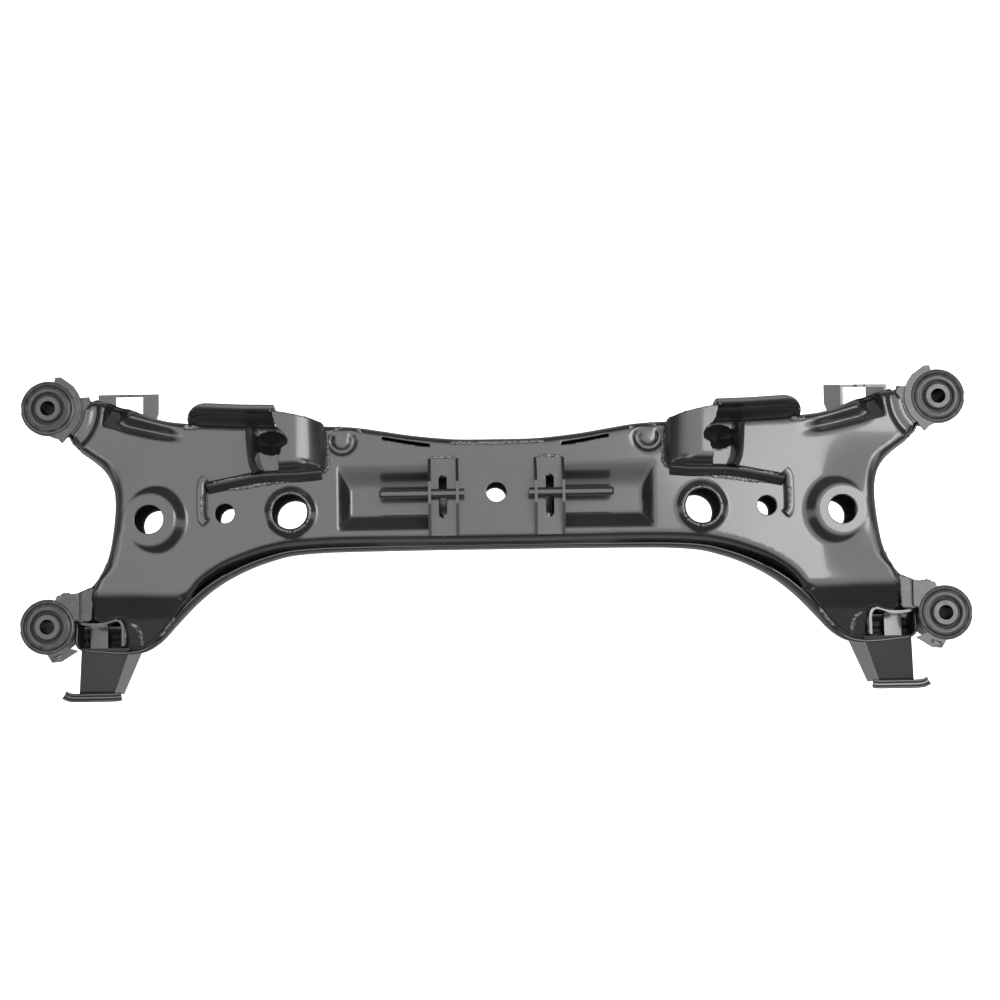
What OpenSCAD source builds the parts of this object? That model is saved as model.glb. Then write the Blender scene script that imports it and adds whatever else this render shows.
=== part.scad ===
// Rear suspension subframe: a pressed box beam with four bushed corners, two tower
// brackets, two link brackets, two arm pockets, two feet and two exhaust hangers.
// It lies as photographed: X across, Y towards the rear, Z up, floor at z = 0.

/* [Plan] */
// Distance between left and right bush axes
bush_pitch_x = 974; // [900:1:1040]
// Distance between front and rear bush axes
bush_pitch_y = 238; // [226:1:256]

/* [Levels] */
// Height of the flat upper face above the floor
top_z = 140; // [132:1:150]
// Height of the box from the lower face to the upper face
box_h = 80; // [72:1:86]
// Height of the towers above the upper face
tower_h = 30; // [22:1:36]
// Height of the exhaust hanger flanges above the upper face
hanger_h = 24; // [20:1:30]

/* [Sheet] */
// Thickness of the two main pressings
sheet_t = 2.5; // [2:0.1:3.2]
// Thickness of the welded brackets
bracket_t = 3; // [2.5:0.1:4]
// Outer radius of the folded panel edges
fold_r = 9; // [6:0.5:10]
// Room left between pieces that sit on one another
fit_gap = 0.25; // [0.15:0.05:0.4]

/* [Bushes] */
// Outer radius of the bush plate
plate_r = 30; // [28:0.5:32]
// Outer radius of the pressed-in steel sleeve
sleeve_r = 20.5; // [19.5:0.1:21.5]
// Wall of the steel sleeve
sleeve_t = 2; // [1.5:0.1:2.5]
// Outer radius of the inner metal core
core_r = 14.5; // [13.5:0.1:15.5]
// Radius of the bolt bore in the core
bolt_r = 8.1; // [7:0.1:9]
// Length of the inner core
core_len = 95; // [88:1:100]

/* [Holes] */
// Radius of the outer round hole on its raised boss
boss_hole_r = 15.6; // [13:0.1:18]
// Radius of the small round hole
small_hole_r = 10.6; // [8:0.1:12]
// Radius of the round hole with the raised collar
collar_hole_r = 18.2; // [16:0.1:19]
// Radius of the middle hole
centre_hole_r = 10.8; // [8:0.1:13]
// Height of the raised boss
boss_h = 10; // [6:0.5:14]
// Height of the raised collar
collar_h = 6; // [4:0.5:8]
// Depth of the two long recesses
recess_d = 12; // [8:0.5:15]

/* [Hangers] */
// Radius of the exhaust hanger rods
rod_r = 4.9; // [4:0.1:6]
// Length of each hanger rod
rod_len = 92; // [80:1:100]
// Width of the slot in the hanger web
slot_w = 10.5; // [8:0.5:12]

/* [Hidden] */
$fn = 64;

kx = bush_pitch_x / 974;
ky = bush_pitch_y / 238;
bush_x = bush_pitch_x / 2;
rear_y = 110 * ky;
front_y = -128 * ky;
// The origin lies under the middle of the whole outline, on the floor
mid_y = (208.5 - 144.5) / 2 * ky;
low_z = top_z - box_h;
rim_z = top_z - 12;
skirt_z = top_z - 27;
plate_z = top_z - 8;
plate_t = 4;
can_r = sleeve_r + fit_gap + bracket_t;
slope_a = 34;
trough_a = 32;
recess_x0 = 58 * kx;
recess_x1 = 172.5 * kx;
recess_y0 = -30 * ky;
recess_y1 = 44 * ky;
hanger_x = 57.5 * kx;
hanger_w = 33;
hanger_y0 = -36 * ky;
hanger_y1 = 48 * ky;
rod_y = 9 * ky;
rod_z = top_z + bracket_t + (hanger_h - bracket_t) * 0.55;

// Plan helpers: a point by its place at the stated size, smooth curves, offsets
function at(x, y) = [x * kx, y * ky];
function unit(v) = v / norm(v);
function blend(a, b, c, d, t) =
  0.5 * (2 * b + (c - a) * t + (2 * a - 5 * b + 4 * c - d) * t * t
  + (3 * b - a - 3 * c + d) * t * t * t);
function curve(p, n) =
  let (m = len(p) - 1)
  concat([for (i = [0:m - 1]) for (k = [0:n - 1])
    blend(p[max(i - 1, 0)], p[i], p[i + 1], p[min(i + 2, m)], k / n)], [p[m]]);
function arc(c, r, a0, a1, n) =
  [for (i = [0:n]) let (a = a0 + (a1 - a0) * i / n) c + r * [cos(a), sin(a)]];
function turn(u, v) =
  let (p = [u.y, -u.x], q = [v.y, -v.x]) (p + q) / (1 + p * q);
// Moves a closed counter-clockwise outline outwards by d
function grow(p, d) =
  let (n = len(p))
  [for (i = [0:n - 1])
    p[i] + d * turn(unit(p[i] - p[(i + n - 1) % n]), unit(p[(i + 1) % n] - p[i]))];
// Moves an open line to its left by d
function shift(p, d) =
  let (n = len(p))
  [for (i = [0:n - 1])
    p[i] - d * turn(unit(p[max(i, 1)] - p[max(i, 1) - 1]),
      unit(p[min(i + 1, n - 1)] - p[min(i + 1, n - 1) - 1]))];
function flip(p) = [for (i = [len(p) - 1:-1:0]) p[i]];
// A strip of thickness t to the left of an open line
function strip(p, t) = concat(p, flip(shift(p, t)));
// Closes a right-hand half line, which starts and ends on the middle plane
function whole(h) =
  flip(concat(h, [for (i = [len(h) - 2:-1:1]) [-h[i].x, h[i].y]]));

// Right-hand half lines of the panels, from the rear middle round to the front middle
rear_line = curve([at(0, 70), at(45, 70.6), at(90, 75), at(125, 80.5), at(160, 85.5),
  at(215, 87.5), at(275, 89), at(330, 91.5), at(366, 96), at(404, 109.5), at(427, 116.5)], 2);
rear_seat = arc([bush_x, rear_y], 39.5, 191, 226, 4);
// Outline corners are rounder than the fold, so that the fold can turn them
corner_r = fold_r + 2.5;
end_line = curve([at(452, 64.5), at(438, 54.5), at(425.5, 42.5), at(417, 25), at(414, 5),
  at(415.5, -20), at(419.5, -45), at(425, -62), at(431.5, -74)], 2);
front_line = curve([at(334, -98), at(323, -83), at(309, -72), at(292, -62.3), at(271, -54),
  at(250, -47.6), at(226, -43), at(192, -40.6), at(150, -40), at(100, -40.3), at(50, -40.5),
  at(0, -40.5)], 2);
front_wall = curve([at(344, -114), at(331, -101), at(314, -87), at(295, -75), at(273, -64.4),
  at(251, -56.6), at(227, -50.6), at(193, -47.8), at(150, -47), at(100, -46.7), at(50, -46.5),
  at(0, -46.5)], 2);
wall_gap = sheet_t + fit_gap;
lid_half = concat(rear_line,
  arc([bush_x - 39.5 - corner_r, 118.2 * ky - corner_r], corner_r, 94, 4, 4), rear_seat,
  [at(459.5, 73.5)], end_line,
  arc([435.5 * kx - corner_r, -95 * ky + corner_r], corner_r, 10, -92, 4), front_line);
// The skirt leans out to the tray wall along the front and hangs straight elsewhere
skirt_half = concat([for (i = [0:len(lid_half) - len(front_line) - 1]) lid_half[i]],
  shift(front_wall, -wall_gap));
lid = whole(lid_half);
skirt = whole(skirt_half);
seat_r = can_r + fit_gap;
// The tray follows the panel at the rear and the ends, and carries the arms in front
tray_half = concat(shift(rear_line, wall_gap),
  arc([bush_x - seat_r - corner_r, 121 * ky - corner_r], corner_r, 94, 4, 4),
  arc([bush_x, rear_y], seat_r, 187, 230, 4), [at(461.5, 71)], shift(end_line, wall_gap),
  [at(443, -88), at(452, -99)],
  arc([bush_x, front_y], seat_r, 142, 190, 4),
  arc([bush_x - seat_r + 1 - corner_r, -154 * ky + corner_r], corner_r, 12, -84, 4),
  curve([at(436, -155.5), at(420, -157), at(403, -157), at(387, -153.5), at(371, -143),
    at(357, -128)], 2), front_wall);
tray = whole(tray_half);

// Rim of the tray wall: lower beside the arm pockets and beside the link brackets
function ramp(v, a, b) = let (t = min(max((v - a) / (b - a), 0), 1)) t * t * (3 - 2 * t);
function rim(p) =
  let (x = abs(p.x) / kx, y = p.y / ky)
  y > 60
    ? rim_z - 18 * ramp(x, 335, 352) * (1 - ramp(x, 436, 442))
      + 6 * (ramp(x, 120, 150) * (1 - ramp(x, 150, 190)))
    : y < -75 ? rim_z - 30 * ramp(x, 330, 384) * (1 - ramp(y, -118, -96)) : rim_z - 4;

// Cuts a flat outline into triangles, one ear at a time
function side(a, b, c) = (b.x - a.x) * (c.y - a.y) - (b.y - a.y) * (c.x - a.x);
function within(p, a, b, c) = side(a, b, p) >= 0 && side(b, c, p) >= 0 && side(c, a, p) >= 0;
function ear(p, k, i) =
  let (n = len(k), a = k[(i + n - 1) % n], b = k[i], c = k[(i + 1) % n])
  side(p[a], p[b], p[c]) > 0.001
    && len([for (j = k) if (j != a && j != b && j != c && within(p[j], p[a], p[b], p[c])) 1]) == 0;
function first_ear(p, k, i) = i >= len(k) - 1 || ear(p, k, i) ? i : first_ear(p, k, i + 1);
function ears(p, k, done) =
  len(k) < 4 ? concat(done, [k])
    : let (n = len(k), i = first_ear(p, k, 0))
      ears(p, [for (j = [0:n - 1]) if (j != i) k[j]],
        concat(done, [[k[(i + n - 1) % n], k[i], k[(i + 1) % n]]]));
// Pressed sheet: its upper face is the first row, its lower face the last row,
// and the rows between them run over the folded edge
module pressing(rows, flat) {
  n = len(flat);
  m = len(rows);
  cap = ears(flat, [for (i = [0:n - 1]) i], []);
  polyhedron(
    points = [for (r = rows) for (p = r) p],
    faces = concat(
      [for (t = cap) [t[2], t[1], t[0]]],
      [for (j = [0:m - 2]) for (i = [0:n - 1])
        [j * n + i, j * n + (i + 1) % n, (j + 1) * n + (i + 1) % n, (j + 1) * n + i]],
      [for (t = cap) [for (v = t) v + (m - 1) * n]]),
    convexity = 10);
}
function raise(p, z) = [for (q = p) [q.x, q.y, z]];

// A round pressing from a lower outline to a smaller upper outline, both convex
module pan_sheet(rows) {
  n = len(rows[0]);
  m = len(rows);
  polyhedron(
    points = [for (r = rows) for (p = r) p],
    faces = concat(
      [[for (i = [0:n - 1]) i]],
      [for (j = [0:m - 2]) for (i = [0:n - 1])
        [j * n + i, (j + 1) * n + i, (j + 1) * n + (i + 1) % n, j * n + (i + 1) % n]],
      [[for (i = [n - 1:-1:0]) (m - 1) * n + i]]),
    convexity = 4);
}
function box_line(x0, x1, y0, y1, r, n) =
  concat(arc([x1 - r, y0 + r], r, -90, 0, n), arc([x1 - r, y1 - r], r, 0, 90, n),
    arc([x0 + r, y1 - r], r, 90, 180, n), arc([x0 + r, y0 + r], r, 180, 270, n));

module both() {
  children();
  mirror([1, 0, 0]) children();
}

// Upper panel
module lid_sheet() {
  c = top_z - fold_r;
  k = fold_r - sheet_t;
  pressing(concat(
    [for (a = [0:22.5:90])
      raise(grow(lid, -fold_r + fold_r * sin(a)), c + fold_r * cos(a))],
    [raise(skirt, skirt_z), raise(grow(skirt, -sheet_t), skirt_z)],
    [for (a = [90:-22.5:0]) raise(grow(lid, -fold_r + k * sin(a)), c + k * cos(a))]),
    grow(lid, -fold_r));
}
// Sloping apron over each front arm, turned down from the front fold
function apron(x, y) = [x * kx, (y + 94) * ky / cos(slope_a)];
module apron_sheet() {
  translate([0, -94 * ky, top_z - 0.6])
    rotate([slope_a, 0, 0])
      translate([0, 0, -sheet_t])
        linear_extrude(sheet_t)
          polygon(concat([apron(437, -91.5), apron(337, -91.5)],
            [apron(335, -98), apron(353, -119), apron(365, -138), apron(379, -148)],
            [apron(396, -151), apron(404, -148), apron(405, -124), apron(412, -118)],
            [apron(441, -118)]));
}
// Trough beside each link bracket: the sheet dips towards the rear
hinge0 = at(338, 67);
hinge1 = at(429.5, 89);
hinge_a = atan2(hinge1.y - hinge0.y, hinge1.x - hinge0.x);
hinge_l = norm(hinge1 - hinge0);
module trough_cut() {
  translate([0, 0, skirt_z - 20])
    linear_extrude(box_h)
      polygon(concat([hinge0 + [2, 1], at(374, 74.5), at(408, 83)], [hinge1],
        [at(429.5, 130), at(400, 122), at(360, 104), at(341, 95)]));
}
module trough_sheet() {
  intersection() {
    translate([hinge0.x, hinge0.y, top_z])
      rotate([0, 0, hinge_a])
        rotate([-trough_a, 0, 0])
          translate([0, 0, -sheet_t])
            linear_extrude(sheet_t)
              polygon([[-6, -2], [hinge_l + 14, -2], [hinge_l + 14, 70], [-6, 70]]);
    translate([0, 0, skirt_z - 20])
      linear_extrude(box_h)
        polygon(concat(
          [at(336, 64), at(432, 87)],
          flip([for (p = shift(rear_line, -0.1)) if (p.x > 336 * kx) p])));
  }
}
module trough_end() {
  translate([0, 0, skirt_z - 6])
    linear_extrude(top_z - skirt_z + 5)
      polygon([at(429.4, 88.5), at(432.2, 88.5), at(432.2, 117), at(429.4, 116.3)]);
}
// Raised boss under the outer hole: a leaning cone of sheet
module boss_body(d, dz) {
  hull() {
    translate(concat(at(371, -13), top_z - sheet_t + dz))
      cylinder(r = 43 - d, h = 0.5, $fn = 48);
    translate(concat(at(376, -14), top_z + boss_h - 0.5 - d))
      cylinder(r = 28 - d * 0.6, h = 0.5, $fn = 48);
  }
}
module collar_body() {
  translate(concat(at(224, -8), top_z))
    rotate_extrude($fn = 96)
      polygon([[28.6, -sheet_t], [28.6, 0], [21.6, collar_h], [collar_hole_r, collar_h],
        [collar_hole_r, collar_h - sheet_t], [20.4, collar_h - sheet_t], [26.6, -sheet_t]]);
}
// Pressed button in an annular groove near each tower
module button_cut() {
  translate(concat(at(167.5, 70), top_z - sheet_t - 1))
    cylinder(r = 14.5, h = sheet_t + 4);
}
module button_body() {
  translate(concat(at(167.5, 70), top_z))
    rotate_extrude($fn = 72)
      polygon([[0, -sheet_t], [0, 0], [8.5, 0], [10, -5], [12.5, -5], [15, 0], [15, -sheet_t],
        [13.4, -5 - sheet_t], [8.4, -5 - sheet_t], [7.4, -sheet_t]]);
}
// Long recess: wide rear wall, steeper ends
function recess_row(s, z) =
  raise(box_line(recess_x0 + 13 * s, recess_x1 - 14 * s, recess_y0 + 18 * s * ky,
    recess_y1 - 29 * s * ky, 11 - 3 * s, 5), z);
module recess_body() {
  b = top_z - recess_d;
  difference() {
    pan_sheet([recess_row(1, b - sheet_t), recess_row(-0.1, top_z - sheet_t - 0.4),
      recess_row(-0.1, top_z)]);
    pan_sheet([recess_row(1, b), recess_row(0, top_z), recess_row(-0.05, top_z + 1)]);
  }
}
module recess_cut() {
  translate([0, 0, top_z - sheet_t - 1])
    linear_extrude(sheet_t + 2)
      polygon([for (p = recess_row(-0.05, 0)) [p.x, p.y]]);
}
module holes(z, h, extra) {
  both() {
    translate(concat(at(376, -14), z))
      cylinder(r = boss_hole_r + extra, h = h);
    translate(concat(at(295, -8), z))
      cylinder(r = small_hole_r + extra, h = h);
    translate(concat(at(224, -8), z))
      cylinder(r = collar_hole_r + extra, h = h);
  }
  translate(concat(at(0, 11), z))
    cylinder(r = centre_hole_r + extra, h = h);
}
// Open slot along the rear edge, where the panel stops short of the rear wall
module rear_slot_cut() {
  translate([0, 0, top_z - fold_r - 3])
    linear_extrude(fold_r + 5)
      polygon([at(71.5, 61.5), at(98, 65.5), at(124, 70.6), at(124, 74.2), at(98, 69.2),
        at(71.5, 65.1)]);
}
module upper_panel() {
  color([0.10, 0.10, 0.11])
    difference() {
      union() {
        difference() {
          lid_sheet();
          both() {
            trough_cut();
            rear_slot_cut();
            recess_cut();
            button_cut();
            translate(concat(at(224, -8), top_z - sheet_t - 1))
              cylinder(r = 28, h = sheet_t + 2);
            translate(concat(at(376, -14), top_z - sheet_t - 1))
              cylinder(r = 26, h = sheet_t + 2);
          }
        }
        both() {
          apron_sheet();
          trough_sheet();
          trough_end();
          collar_body();
          button_body();
          recess_body();
          difference() {
            boss_body(0, 0);
            boss_body(sheet_t, -1);
          }
        }
      }
      holes(top_z - sheet_t - 2, boss_h + 12, 0);
    }
}

// Lower panel: an open tray with a folded rim
module tray_sheet() {
  c = low_z + fold_r;
  k = fold_r - sheet_t;
  n = len(tray);
  inner = grow(tray, -sheet_t);
  pressing(concat(
    [for (a = [0:30:90]) raise(grow(tray, -fold_r + k * sin(a)), c - k * cos(a))],
    [[for (i = [0:n - 1]) [inner[i].x, inner[i].y, rim(tray[i])]]],
    [[for (i = [0:n - 1]) [tray[i].x, tray[i].y, rim(tray[i])]]],
    [for (a = [90:-30:0]) raise(grow(tray, -fold_r + fold_r * sin(a)), c - fold_r * cos(a))]),
    grow(tray, -fold_r));
}
module lower_panel() {
  color([0.09, 0.09, 0.10])
    difference() {
      tray_sheet();
      holes(low_z - 1, sheet_t + 3, 1.5);
    }
}

// Corner bushes
module bush_at(x, y) {
  translate([x, y, 0])
    children();
}
module plate_outline_rear() {
  translate([bush_x, rear_y])
    circle(r = plate_r);
  polygon(concat(
    [[bush_x, rear_y], [bush_x - 6, rear_y + 28], [bush_x - 7.5, rear_y + 34.5],
      [bush_x - 14, rear_y + 34.5], [bush_x - 27, rear_y + 25]],
    arc([bush_x, rear_y], 36.5, 140, 230, 8),
    [[bush_x - 15, rear_y - 38], [bush_x - 7, rear_y - 30]]));
}
module plate_outline_front() {
  translate([bush_x, front_y])
    circle(r = plate_r);
  polygon([[bush_x, front_y], [bush_x - 8, front_y + 29], [bush_x - 10, front_y + 34],
    [bush_x - 34, front_y + 36.5], [bush_x - 34, front_y + 8], [bush_x - 21, front_y + 6]]);
  polygon([[bush_x, front_y], [bush_x - 21, front_y - 22], [bush_x - 33, front_y - 26],
    [bush_x - 15, front_y - 37.5], [bush_x - 5, front_y - 38.5], [bush_x + 1, front_y - 29]]);
}
module plate_common(y) {
  difference() {
    union() {
      translate([0, 0, plate_z])
        linear_extrude(plate_t)
          children();
      bush_at(bush_x, y) {
        translate([0, 0, low_z - 2])
          cylinder(r = can_r, h = plate_z - low_z + 4);
        translate([0, 0, plate_z + plate_t - 0.5])
          cylinder(r1 = 25.5, r2 = 24.5, h = 1.7);
      }
    }
    bush_at(bush_x, y) {
      translate([0, 0, low_z - 3])
        cylinder(r = sleeve_r + fit_gap, h = box_h + 20);
      translate([plate_r + 1, -1, plate_z - 1])
        cylinder(r = 3.6, h = plate_t + 2);
    }
  }
}
module bush_plate_rear() {
  plate_common(rear_y)
    plate_outline_rear();
}
module bush_plate_front() {
  difference() {
    plate_common(front_y)
      plate_outline_front();
    translate([bush_x - 60, front_y - 22, plate_z - 40])
      cube([60 - can_r - fit_gap, 28, 60]);
  }
}
module bush_sleeve(y) {
  color([0.25, 0.25, 0.26])
    bush_at(bush_x, y)
      translate([0, 0, low_z])
        difference() {
          cylinder(r = sleeve_r, h = plate_z + plate_t + 2 - low_z);
          translate([0, 0, -1])
            cylinder(r = sleeve_r - sleeve_t, h = box_h + 20);
        }
}
module bush_rubber(y) {
  r0 = core_r + fit_gap / 2;
  r1 = sleeve_r - sleeve_t - fit_gap / 2;
  z1 = plate_z + plate_t + 1;
  color([0.05, 0.05, 0.05])
    bush_at(bush_x, y)
      rotate_extrude($fn = 96)
        polygon([[r0, low_z - 2], [r1, low_z + 2], [r1, z1], [r1 - 1, z1 + 0.5],
          [r1 - 1.8, z1 - 3], [r0 + 0.8, z1 - 3], [r0, z1]]);
}
module bush_core(y) {
  z1 = plate_z + plate_t + 3.5;
  color([0.35, 0.35, 0.36])
    bush_at(bush_x, y)
      rotate_extrude($fn = 96)
        polygon([[bolt_r, z1 - core_len], [core_r, z1 - core_len], [core_r, z1 - 2],
          [core_r - 1.2, z1 - 1], [core_r - 1.4, z1], [bolt_r, z1]]);
}

// Tower bracket: a hat with a cut-away outboard side
module tower_hat(d) {
  hull() {
    translate([0, 0, top_z + fit_gap - (d > 0 ? 1 : 0)])
      linear_extrude(0.4)
        polygon([at(186.5 , 38) + [d, 0], at(192, 30) + [d, d], at(222, 27) + [0, d],
          at(316, 22) + [0, d], at(316, 86.5) - [0, d], at(186.5, 84.5) + [d, -d]]);
    translate([0, 0, top_z + tower_h - 0.4 - d])
      linear_extrude(0.4)
        polygon([at(202, 52) + [d, 0], at(210, 44) + [d, d], at(228, 40) + [0, d],
          at(316, 27) + [0, d], at(316, 97) - [0, d], at(200, 88) + [d, -d]]);
  }
}
module tower_bracket() {
  difference() {
    tower_hat(0);
    tower_hat(bracket_t);
    // Outboard cut with its rounded notch, kept clear of the front wall
    translate([0, 0, top_z - 2])
      linear_extrude(tower_h + 10)
        difference() {
          polygon([at(246, 110), at(242, 97), at(234, 83), at(228, 78), at(236, 68),
            at(239, 58), at(237, 48), at(238, 43), at(330, 33), at(330, 110)]);
        }
    translate(concat(at(229, 76), top_z - 2))
      cylinder(r = 6.5, h = tower_h + 10);
    // Front wall steps down outboard of the cut
    translate([0, 0, top_z + tower_h * 0.55])
      linear_extrude(tower_h)
        polygon([at(262, 10), at(330, 10), at(330, 60), at(262, 60)]);
  }
  // Outboard wall, across the gap from the cut edge
  translate([262 * kx, 0, top_z + fit_gap])
    rotate([90, 0, 90])
      linear_extrude(bracket_t)
        polygon([[27 * ky, 0], [83 * ky, 0], [84.5 * ky, tower_h * 0.75], [80 * ky, tower_h - 2],
          [42 * ky, tower_h - 2], [33 * ky, tower_h * 0.5]]);
  // Low ridge that turns forward from the end of the front wall
  translate([0, 0, top_z + fit_gap])
    linear_extrude(tower_h * 0.35)
      polygon(strip(curve([at(314.5, 25), at(319, 20), at(320.5, 8), at(320.5, -16)], 4),
        bracket_t));
}
// Tower back: an upright flange that leans over the rear edge of the panel
module tower_back() {
  intersection() {
    translate([0, 86 * ky, top_z - 24])
      rotate([-20, 0, 0])
        translate([188 * kx, 6, 0])
          rotate([90, 0, 0])
            linear_extrude(bracket_t)
              polygon(concat([[0, 14], [142 * kx, 14]],
                arc([132 * kx, 44], 10, 0, 70, 4),
                [[112 * kx, 57], [68 * kx, 58], [54 * kx, 53], [0, 46]]));
    translate([0, 0, 0])
      linear_extrude(top_z + tower_h + 20)
        difference() {
          translate([150 * kx, 40])
            square([220 * kx, 120]);
          polygon(grow(tray, fit_gap));
        }
  }
}
// Puts the origin under the middle of the whole part
module placed() {
  translate([0, mid_y, 0])
    children();
}
module left(on) {
  placed() {
    if (on) mirror([1, 0, 0]) children();
    else children();
  }
}

// Link bracket: a U of plate behind the rear wall, standing on the floor
module outside_tray(z0, z1) {
  translate([0, 0, z0])
    linear_extrude(z1 - z0)
      polygon(grow(tray, fit_gap));
}
module link_leg(x, y0) {
  translate([x * kx - bracket_t / 2, 0, 0])
    rotate([90, 0, 90])
      linear_extrude(bracket_t)
        polygon([[y0 * ky, top_z - 30], [128 * ky, top_z - 30], [144.5 * ky, 0],
          [122 * ky, 0], [y0 * ky, low_z - 12]]);
}
module link_web() {
  lean = atan2((144.5 - 128) * ky, top_z - 30);
  h = norm([(144.5 - 128) * ky, top_z - 30]);
  intersection() {
    translate([386 * kx - bracket_t / 2, 144.5 * ky, 0])
      rotate([lean, 0, 0])
        rotate([90, 0, 0])
          linear_extrude(bracket_t)
            difference() {
              translate([0, -4])
                square([49 * kx + bracket_t, h + 4]);
              translate([7 * kx, h - 11])
                square([12 * kx, 12]);
              translate([24 * kx, h - 6])
                square([4 * kx, 7]);
            }
    translate([300 * kx, 60, 0])
      cube([200 * kx, 120, top_z]);
  }
}
module link_bracket() {
  difference() {
    union() {
      link_leg(386, 96);
      link_leg(435, 108);
      link_web();
    }
    outside_tray(low_z - 0.3, top_z + 10);
  }
}

// Arm pocket: a wavy wall across the front arm, with its end turned forward
module arm_pocket() {
  line = curve([at(462, -121), at(456, -124.5), at(446, -126.5), at(432, -126.5), at(422, -123),
    at(415, -122), at(411, -127), at(410.5, -136), at(410.5, -149)], 3);
  difference() {
    union() {
      translate([0, 0, low_z + sheet_t + fit_gap])
        linear_extrude(top_z - low_z - 28)
          polygon(strip(line, -bracket_t));
      translate([431 * kx, -150 * ky, low_z + sheet_t + 12])
        cube([19 * kx, 24.6 * ky, bracket_t]);
    }
    translate([0, 0, low_z - 1])
      linear_extrude(box_h)
        difference() {
          translate([300 * kx, -200])
            square([300, 200]);
          polygon(grow(tray, -sheet_t - fit_gap));
        }
    translate([bush_x, front_y, 0])
      cylinder(r = seat_r + fit_gap, h = top_z + 20);
  }
}

// Foot bracket: a hollow leg in front of each arm, with a lip at its front edge
module foot_bracket() {
  z1 = top_z - 52;
  difference() {
    union() {
      linear_extrude(z1)
        polygon([at(404, -150), at(456, -150), at(463, -199.5), at(461, -201), at(427, -201),
          at(424, -199)]);
      translate([0, 0, z1 - bracket_t])
        linear_extrude(bracket_t)
          polygon(concat([at(418, -200), at(419, -207), at(422, -208.5)],
            [at(474, -208.5), at(478, -206), at(480, -200)]));
    }
    translate([0, 0, -1])
      linear_extrude(z1 + 1 - bracket_t)
        polygon([at(404, -140) + [bracket_t, 0], at(456, -140) - [bracket_t, 0],
          at(462, -201) + [-bracket_t, bracket_t], at(425.5, -201) + [bracket_t, bracket_t]]);
    outside_tray(-1, top_z);
  }
}

// Exhaust hangers
module hanger_bracket() {
  x0 = hanger_x - hanger_w / 2;
  difference() {
    union() {
      translate([x0, hanger_y0, top_z + fit_gap / 2])
        cube([hanger_w, hanger_y1 - hanger_y0, bracket_t]);
      for (x = [x0, x0 + hanger_w - bracket_t])
        translate([x, hanger_y0, top_z + fit_gap / 2])
          rotate([90, 0, 90])
            linear_extrude(bracket_t)
              polygon([[0, 0], [hanger_y1 - hanger_y0, 0], [hanger_y1 - hanger_y0, 6],
                [rod_y - hanger_y0 + 12, hanger_h], [rod_y - hanger_y0 - 12, hanger_h], [0, 6]]);
    }
    for (y = [-12 * ky, 25 * ky])
      translate([hanger_x, y, top_z - 1])
        cylinder(r = slot_w / 2, h = bracket_t + 3);
    translate([hanger_x - slot_w / 2, -12 * ky, top_z - 1])
      cube([slot_w, 37 * ky, bracket_t + 3]);
    translate([x0 - 5, rod_y, rod_z])
      rotate([0, 90, 0])
        cylinder(r = rod_r + fit_gap / 2, h = hanger_w + 10);
  }
}
module hanger_rod() {
  x0 = hanger_x - hanger_w / 2 - 6;
  translate([x0, rod_y, rod_z])
    rotate([0, 90, 0]) {
      cylinder(r = rod_r, h = rod_len - 2);
      translate([0, 0, rod_len - 2])
        cylinder(r1 = rod_r, r2 = rod_r - 1.6, h = 2);
    }
}

paint = [0.10, 0.10, 0.11];
placed() upper_panel();
placed() lower_panel();
color(paint) left(true) bush_plate_rear();  // bush_plate_rear_left
color(paint) left(false) bush_plate_rear();  // bush_plate_rear_right
color(paint) left(true) bush_plate_front();  // bush_plate_front_left
color(paint) left(false) bush_plate_front();  // bush_plate_front_right
left(true) bush_sleeve(rear_y);  // bush_sleeve_rear_left
left(false) bush_sleeve(rear_y);  // bush_sleeve_rear_right
left(true) bush_sleeve(front_y);  // bush_sleeve_front_left
left(false) bush_sleeve(front_y);  // bush_sleeve_front_right
left(true) bush_rubber(rear_y);  // bush_rubber_rear_left
left(false) bush_rubber(rear_y);  // bush_rubber_rear_right
left(true) bush_rubber(front_y);  // bush_rubber_front_left
left(false) bush_rubber(front_y);  // bush_rubber_front_right
left(true) bush_core(rear_y);  // bush_core_rear_left
left(false) bush_core(rear_y);  // bush_core_rear_right
left(true) bush_core(front_y);  // bush_core_front_left
left(false) bush_core(front_y);  // bush_core_front_right
color(paint) left(true) tower_bracket();  // tower_bracket_left
color(paint) left(false) tower_bracket();  // tower_bracket_right
color(paint) left(true) tower_back();  // tower_back_left
color(paint) left(false) tower_back();  // tower_back_right
color(paint) left(true) link_bracket();  // link_bracket_left
color(paint) left(false) link_bracket();  // link_bracket_right
color(paint) left(true) arm_pocket();  // arm_pocket_left
color(paint) left(false) arm_pocket();  // arm_pocket_right
color(paint) left(true) foot_bracket();  // foot_bracket_left
color(paint) left(false) foot_bracket();  // foot_bracket_right
color(paint) left(true) hanger_bracket();  // hanger_bracket_left
color(paint) left(false) hanger_bracket();  // hanger_bracket_right
color(paint) left(true) hanger_rod();  // hanger_rod_left
color(paint) left(false) hanger_rod();  // hanger_rod_right
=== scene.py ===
import math

import bpy
import numpy as np
from mathutils import Matrix, Vector, noise
from mathutils.geometry import delaunay_2d_cdt


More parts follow.
